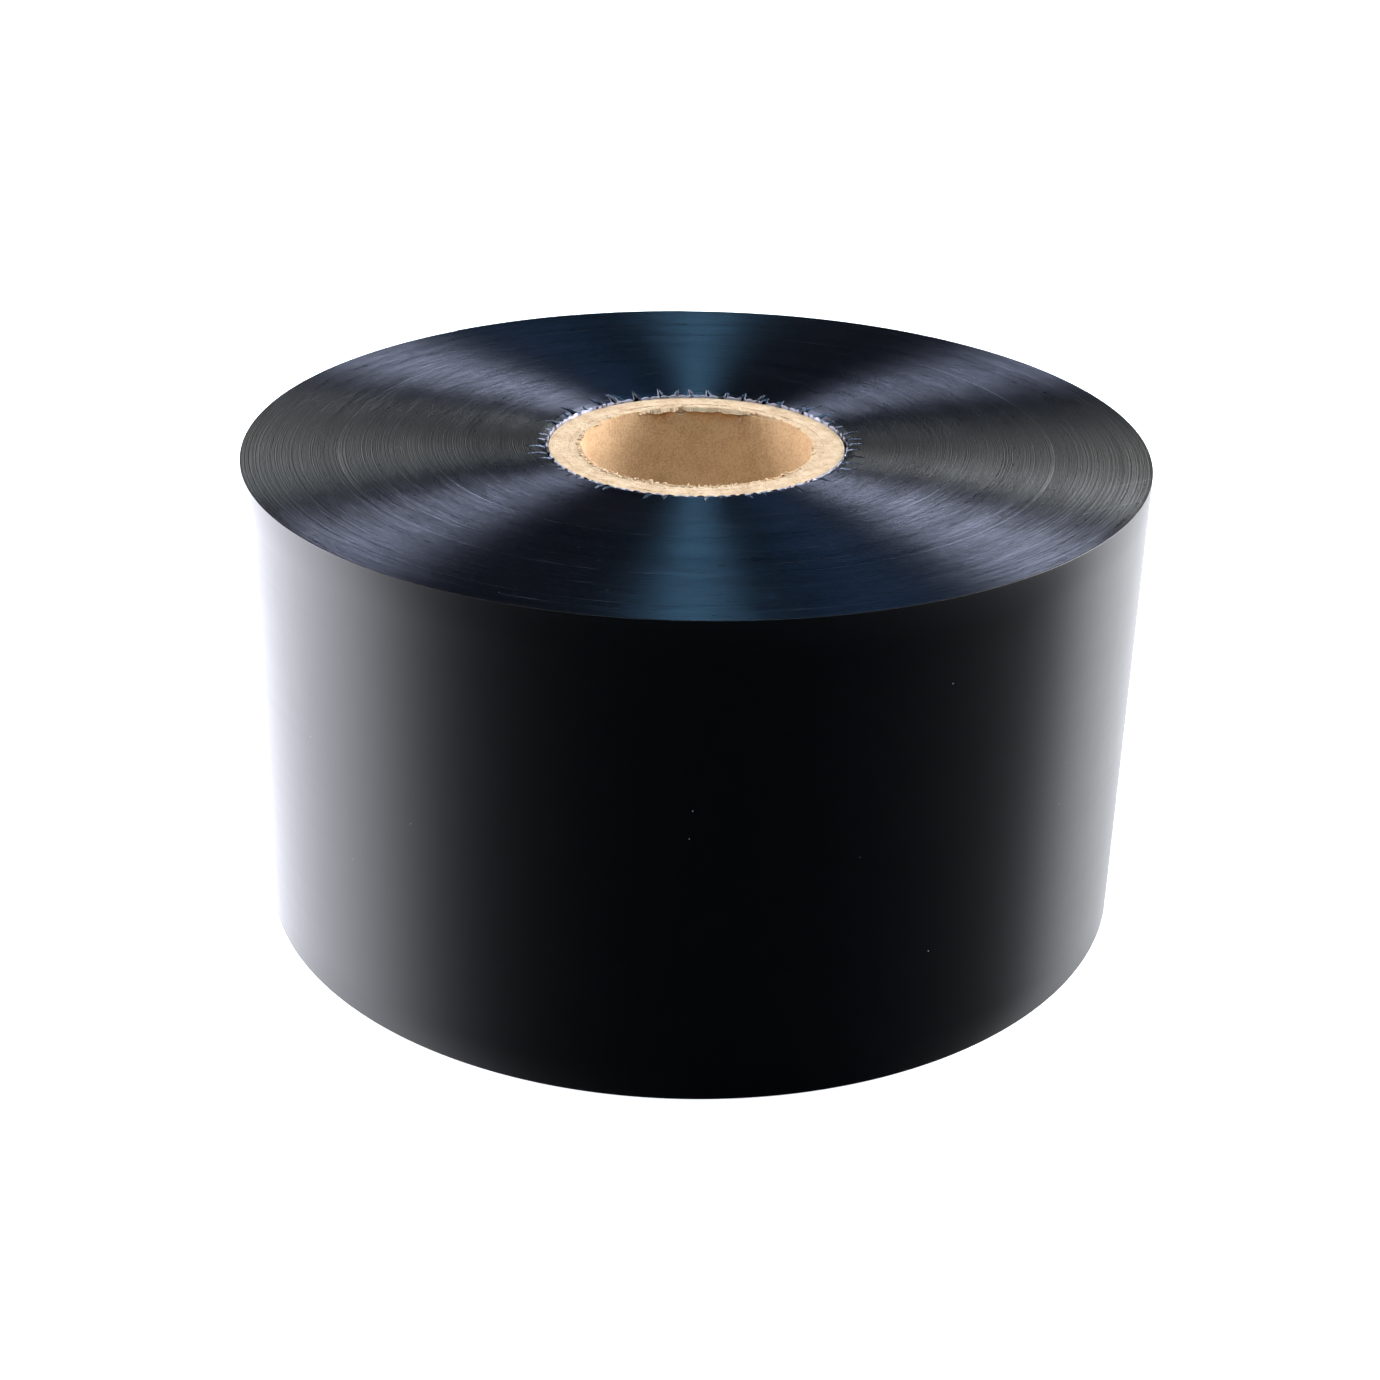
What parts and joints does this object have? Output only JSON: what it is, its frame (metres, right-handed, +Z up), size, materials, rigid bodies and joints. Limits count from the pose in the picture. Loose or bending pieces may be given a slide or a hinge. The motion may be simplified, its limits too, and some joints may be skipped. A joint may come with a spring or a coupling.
{
  "type": "roll of sign vinyl",
  "caption": "Black self-adhesive sign vinyl wound on a paperboard core, standing on end, with a free outer end that peels back and is held by a strip of closing tape.",
  "frame": {"origin": "centre of the bottom end, which the roll stands on", "axes": "+Z up along the axis of the core; -Y towards the viewer, +Y towards the free end of the web"},
  "size_m": [0.2913, 0.2917, 0.1551],
  "materials": {
    "vinyl_face": "satin",
    "wound_edge": "satin",
    "release_liner": "satin",
    "kraft_liner": "matte",
    "core_board": "matte",
    "start_tape": "satin",
    "closing_tape": "matte"
  },
  "bodies": {
    "roll": {"core_liner_ply": "kraft_liner", "core_wall_plies_inner": "core_board", "core_wall_plies_middle": "core_board", "core_wall_plies_outer": "core_board", "core_cover_ply": "core_board", "core_start_tape": "start_tape", "first_turns": "wound_edge", "wound_band_inner": "wound_edge", "wound_band_middle": "wound_edge", "wound_band_outer": "wound_edge", "wound_band_rim": "wound_edge", "outer_turn": "vinyl_face"},
    "tail_leaf_1": {"tail_film_1": "vinyl_face", "tail_liner_1": "release_liner"},
    "tail_leaf_2": {"tail_film_2": "vinyl_face", "tail_liner_2": "release_liner"},
    "tail_leaf_3": {"tail_film_3": "vinyl_face", "tail_liner_3": "release_liner"},
    "tail_leaf_4": {"tail_film_4": "vinyl_face", "tail_liner_4": "release_liner", "closing_tape": "closing_tape"},
    "tape_flap": {"closing_tape_flap": "closing_tape"}
  },
  "joints": [
    {"name": "tail_peel_1", "type": "hinge", "parent": "roll", "child": "tail_leaf_1", "pos_m": [-0.0051, 0.14591, 0.0775], "axis": [0, 0, -1], "range_deg": [0, 20]},
    {"name": "tail_peel_2", "type": "hinge", "parent": "tail_leaf_1", "child": "tail_leaf_2", "pos_m": [-0.02786, 0.14332, 0.0775], "axis": [0, 0, -1], "range_deg": [0, 20]},
    {"name": "tail_peel_3", "type": "hinge", "parent": "tail_leaf_2", "child": "tail_leaf_3", "pos_m": [-0.04993, 0.1372, 0.0775], "axis": [0, 0, -1], "range_deg": [0, 20]},
    {"name": "tail_peel_4", "type": "hinge", "parent": "tail_leaf_3", "child": "tail_leaf_4", "pos_m": [-0.07078, 0.12769, 0.0775], "axis": [0, 0, -1], "range_deg": [0, 20]},
    {"name": "tape_peel", "type": "hinge", "parent": "tail_leaf_4", "child": "tape_flap", "pos_m": [-0.08996, 0.11514, 0.0775], "axis": [0, 0, -1], "range_deg": [0, 110]}
  ],
  "couplings": [
    {"joint": "tail_peel_2", "follows": "tail_peel_1", "ratio": 1},
    {"joint": "tail_peel_3", "follows": "tail_peel_1", "ratio": 1},
    {"joint": "tail_peel_4", "follows": "tail_peel_1", "ratio": 1}
  ]
}
